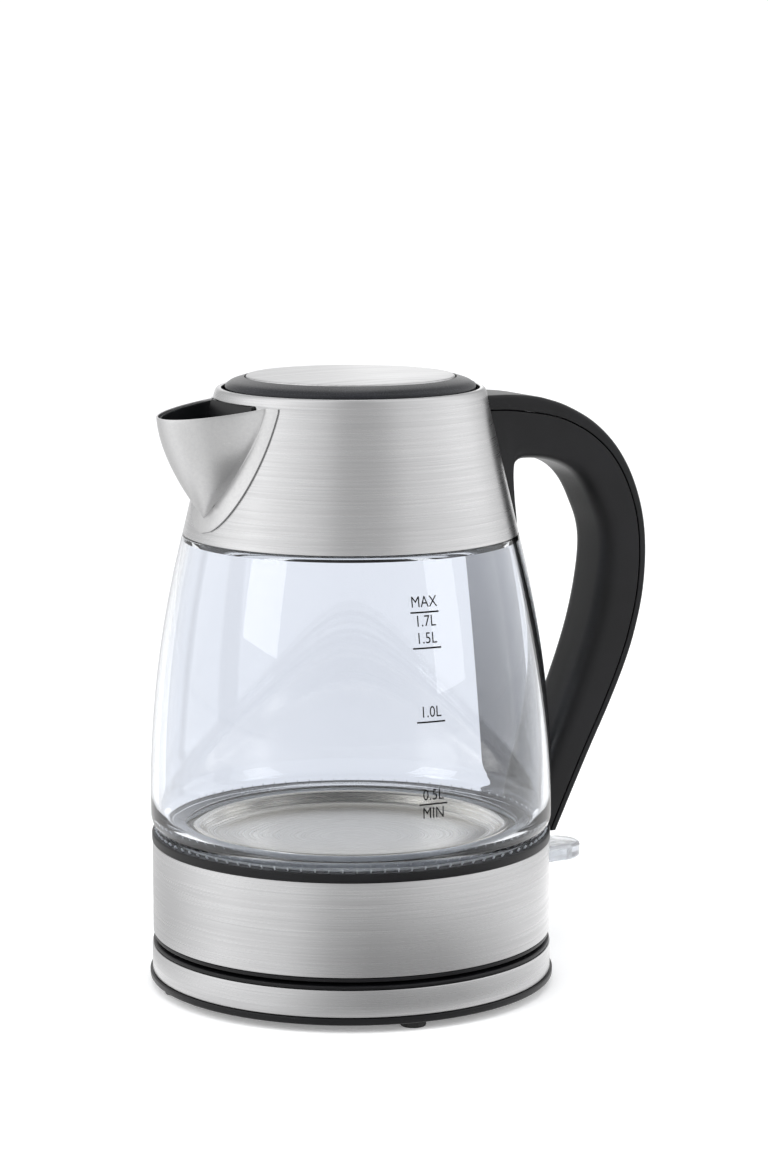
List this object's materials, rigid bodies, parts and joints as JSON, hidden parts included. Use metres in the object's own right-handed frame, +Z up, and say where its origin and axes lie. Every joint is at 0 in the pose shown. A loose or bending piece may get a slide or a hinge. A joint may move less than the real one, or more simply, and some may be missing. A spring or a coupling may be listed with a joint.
{
  "type": "electric kettle",
  "caption": "Glass electric kettle with steel collar, spout and skirt, black loop handle and hinged lid, standing on a round cordless power base.",
  "frame": {"origin": "on the kettle's vertical axis, at the level of the table the feet stand on", "axes": "+Z up, +X towards the handle, -X towards the spout"},
  "size_m": [0.2125, 0.16, 0.2421],
  "materials": {
    "brushed_steel": "stainless steel with fine level brush lines",
    "satin_steel": "satin blasted stainless steel",
    "steel_mesh": "fine woven stainless mesh",
    "polished_steel": "polished stainless steel",
    "aluminium": "plain aluminium",
    "copper": "copper alloy contact",
    "brass": "plain brass",
    "clear_glass": "clear heat-proof glass",
    "clear_plastic": "clear moulded plastic",
    "silicone": "translucent silicone",
    "rubber": "matt rubber",
    "black_plastic": "black satin moulded plastic",
    "grey_plastic": "dark grey satin moulded plastic"
  },
  "bodies": {
    "power_base": {"base_pan": "black_plastic", "base_band": "brushed_steel", "base_top": "black_plastic", "base_plug": "black_plastic", "neutral_contact_ring": "copper", "live_contact_ring": "copper", "earth_pin": "brass", "cord_bush": "black_plastic", "foot_1": "rubber", "foot_2": "rubber", "foot_3": "rubber", "foot_4": "rubber", "base_screw_1": "polished_steel", "base_screw_2": "polished_steel", "base_screw_3": "polished_steel"},
    "socket_module": {"connector_socket": "black_plastic", "socket_power_blade": "copper", "socket_earth_sleeve": "brass"},
    "kettle": {"kettle_floor": "black_plastic", "skirt": "brushed_steel", "skirt_ring": "black_plastic", "floor_screw_1": "polished_steel", "floor_screw_2": "polished_steel", "floor_screw_3": "polished_steel", "heating_plate": "polished_steel", "heat_spreader": "aluminium", "heating_element": "polished_steel", "thermostat_control": "black_plastic", "bimetal_disc": "copper", "glass_vessel": "clear_glass", "glass_seal": "silicone", "neck_seal": "silicone", "lever_bracket": "grey_plastic", "lever_pin": "polished_steel", "indicator_lamp": "clear_plastic", "collar": "brushed_steel", "collar_liner": "black_plastic", "spout": "satin_steel", "spout_channel": "black_plastic", "strainer_frame": "black_plastic", "strainer_mesh": "steel_mesh", "handle_body": "black_plastic", "handle_cover": "black_plastic", "handle_screw_1": "polished_steel", "handle_screw_2": "polished_steel", "button_spring": "polished_steel", "hinge_pin": "polished_steel", "lid_spring": "polished_steel"},
    "lid": {"lid_ring": "grey_plastic", "lid_disc": "brushed_steel", "lid_inner_cover": "black_plastic", "lid_seal": "silicone", "lid_screw_1": "polished_steel", "lid_screw_2": "polished_steel", "lid_screw_3": "polished_steel"},
    "switch_lever": {"switch_lever": "clear_plastic"},
    "release_button": {"release_button": "black_plastic"},
    "latch_bar": {"latch_bar": "grey_plastic"}
  },
  "joints": [
    {"name": "kettle_lift", "type": "slide", "parent": "power_base", "child": "socket_module", "axis": [0, 0, 1], "range_m": [0, 0.06]},
    {"name": "kettle_turn", "type": "hinge", "parent": "socket_module", "child": "kettle", "pos_m": [0, 0, 0.03], "axis": [0, 0, 1], "continuous": true},
    {"name": "lid_hinge", "type": "hinge", "parent": "kettle", "child": "lid", "pos_m": [0.0435, 0, 0.23625], "axis": [0, 1, 0], "range_deg": [0, 80]},
    {"name": "switch_rock", "type": "hinge", "parent": "kettle", "child": "switch_lever", "pos_m": [0.071, 0, 0.0412], "axis": [0, 1, 0], "range_deg": [0, 12]},
    {"name": "button_press", "type": "slide", "parent": "kettle", "child": "release_button", "axis": [-0.4827, 0, -0.8758], "range_m": [0, 0.002], "stiffness_N_per_m": 400, "springref_m": -0.0006},
    {"name": "latch_draw", "type": "slide", "parent": "kettle", "child": "latch_bar", "axis": [1, 0, 0], "range_m": [0, 0.002]}
  ],
  "couplings": [
    {"joint": "latch_draw", "follows": "button_press", "ratio": 1}
  ]
}
